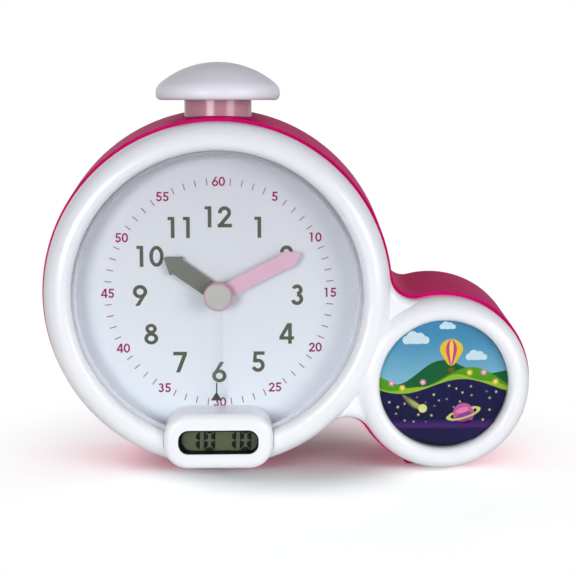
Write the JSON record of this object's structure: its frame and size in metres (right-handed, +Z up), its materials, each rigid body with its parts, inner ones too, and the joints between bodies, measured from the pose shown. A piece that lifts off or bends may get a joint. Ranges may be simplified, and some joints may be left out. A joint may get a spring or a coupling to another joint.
{
  "type": "kids alarm clock with night light",
  "caption": "Free-standing kids alarm clock: round hand dial under a clear lens, digital window below it, push dome on top and a round picture night light joined at its side.",
  "frame": {"origin": "bottom centre of the bounding box, on the table", "axes": "+X to the viewer's right towards the night light, -Y out of the dial towards the viewer, +Z up"},
  "size_m": [0.2298, 0.078, 0.1887],
  "materials": {
    "white_shell": "glossy moulded ABS",
    "magenta_shell": "glossy moulded ABS",
    "clear_plastic": "clear polished styrene",
    "dial_face": "satin printed sheet",
    "grey_hand": "painted",
    "pink_hand": "painted",
    "cap_grey": "satin",
    "black_trim": "glossy",
    "lcd_panel": "satin glass face",
    "circuit_board": "solder mask",
    "dark_component": "moulded",
    "inner_white": "moulded",
    "picture_print": "printed film",
    "led_resin": "domed resin",
    "steel_wire": "bright",
    "screw_steel": "zinc plated",
    "rubber_pad": "matt",
    "gear_resin": "acetal",
    "copper_wire": "enamelled winding",
    "cell_wrap": "plain wrap",
    "paper_cone": "paper",
    "movement_black": "moulded"
  },
  "bodies": {
    "clock_body": {"alarm_switch_body": "screw_steel", "battery_1": "cell_wrap", "battery_2": "cell_wrap", "battery_3": "cell_wrap", "battery_tray": "magenta_shell", "board_components": "dark_component", "button_base": "inner_white", "button_board": "circuit_board", "button_spring": "steel_wire", "button_switch": "dark_component", "coil": "copper_wire", "contact_plates": "steel_wire", "contact_springs": "steel_wire", "dial_lens": "clear_plastic", "dial_plate": "dial_face", "foot_pads": "rubber_pad", "front_bezel": "white_shell", "housing_screws": "screw_steel", "key_switches": "dark_component", "lcd_board": "circuit_board", "lcd_carrier": "inner_white", "lcd_glass": "lcd_panel", "lcd_mask": "black_trim", "lcd_pod": "white_shell", "lcd_window": "clear_plastic", "led_board": "circuit_board", "light_box": "inner_white", "main_board": "circuit_board", "movement_case_front": "movement_black", "movement_case_rear": "movement_black", "night_leds": "led_resin", "picture_film": "picture_print", "picture_window": "clear_plastic", "rear_housing": "magenta_shell", "small_screws": "screw_steel", "speaker_basket": "screw_steel", "speaker_cone": "paper_cone", "stator": "screw_steel"},
    "seconds": {"second_hand": "clear_plastic", "hub_cap": "cap_grey", "second_wheel": "gear_resin"},
    "minutes": {"minute_hand": "pink_hand", "centre_wheel": "gear_resin"},
    "hours": {"hour_hand": "grey_hand", "hour_wheel": "gear_resin"},
    "third_gear": {"third_wheel": "gear_resin"},
    "fifth_gear": {"fifth_wheel": "gear_resin"},
    "step_rotor": {"rotor": "gear_resin"},
    "setting_knob": {"motion_wheel": "gear_resin", "time_set_knob": "magenta_shell"},
    "push_dome": {"button_dome": "white_shell", "button_stem": "white_shell"},
    "alarm_slider": {"alarm_switch_knob": "magenta_shell"},
    "battery_cover": {"battery_door": "magenta_shell", "door_screw": "screw_steel"},
    "key_1": {"set_button_1": "magenta_shell"},
    "key_2": {"set_button_2": "magenta_shell"},
    "key_3": {"set_button_3": "magenta_shell"},
    "key_4": {"set_button_4": "magenta_shell"}
  },
  "joints": [
    {"name": "second_hand_spin", "type": "hinge", "parent": "clock_body", "child": "seconds", "pos_m": [-0.0322, 0, 0.0825], "axis": [0, 1, 0], "continuous": true},
    {"name": "minute_hand_spin", "type": "hinge", "parent": "clock_body", "child": "minutes", "pos_m": [-0.0322, 0, 0.0825], "axis": [0, 1, 0], "continuous": true},
    {"name": "hour_hand_spin", "type": "hinge", "parent": "clock_body", "child": "hours", "pos_m": [-0.0322, 0, 0.0825], "axis": [0, 1, 0], "continuous": true},
    {"name": "third_gear_spin", "type": "hinge", "parent": "clock_body", "child": "third_gear", "pos_m": [-0.04214, 0, 0.08824], "axis": [0, 1, 0], "continuous": true},
    {"name": "fifth_gear_spin", "type": "hinge", "parent": "clock_body", "child": "fifth_gear", "pos_m": [-0.02207, 0, 0.08835], "axis": [0, 1, 0], "continuous": true},
    {"name": "rotor_spin", "type": "hinge", "parent": "clock_body", "child": "step_rotor", "pos_m": [-0.02061, 0, 0.09662], "axis": [0, 1, 0], "continuous": true},
    {"name": "setting_knob_spin", "type": "hinge", "parent": "clock_body", "child": "setting_knob", "pos_m": [-0.02181, 0, 0.0765], "axis": [0, 1, 0], "continuous": true},
    {"name": "dome_press", "type": "slide", "parent": "clock_body", "child": "push_dome", "axis": [0, 0, -1], "range_m": [0, 0.003], "stiffness_N_per_m": 400, "springref_m": -0.005, "deforming": ["button_spring"]},
    {"name": "key_1_press", "type": "slide", "parent": "clock_body", "child": "key_1", "axis": [0, -1, 0], "range_m": [0, 0.001], "stiffness_N_per_m": 400, "springref_m": -0.0012},
    {"name": "key_2_press", "type": "slide", "parent": "clock_body", "child": "key_2", "axis": [0, -1, 0], "range_m": [0, 0.001], "stiffness_N_per_m": 400, "springref_m": -0.0012},
    {"name": "key_3_press", "type": "slide", "parent": "clock_body", "child": "key_3", "axis": [0, -1, 0], "range_m": [0, 0.001], "stiffness_N_per_m": 400, "springref_m": -0.0012},
    {"name": "key_4_press", "type": "slide", "parent": "clock_body", "child": "key_4", "axis": [0, -1, 0], "range_m": [0, 0.001], "stiffness_N_per_m": 400, "springref_m": -0.0012},
    {"name": "alarm_slide", "type": "slide", "parent": "clock_body", "child": "alarm_slider", "axis": [1, 0, 0], "range_m": [0, 0.004]},
    {"name": "battery_cover_hinge", "type": "hinge", "parent": "clock_body", "child": "battery_cover", "pos_m": [-0.0322, 0.034, 0.0665], "axis": [1, 0, 0], "range_deg": [0, 75]}
  ],
  "couplings": [
    {"joint": "minute_hand_spin", "follows": "second_hand_spin", "ratio": 0.016667},
    {"joint": "hour_hand_spin", "follows": "second_hand_spin", "ratio": 0.0013889},
    {"joint": "third_gear_spin", "follows": "second_hand_spin", "ratio": -0.13333},
    {"joint": "fifth_gear_spin", "follows": "second_hand_spin", "ratio": -5},
    {"joint": "rotor_spin", "follows": "second_hand_spin", "ratio": 30},
    {"joint": "setting_knob_spin", "follows": "second_hand_spin", "ratio": -0.0055556}
  ]
}
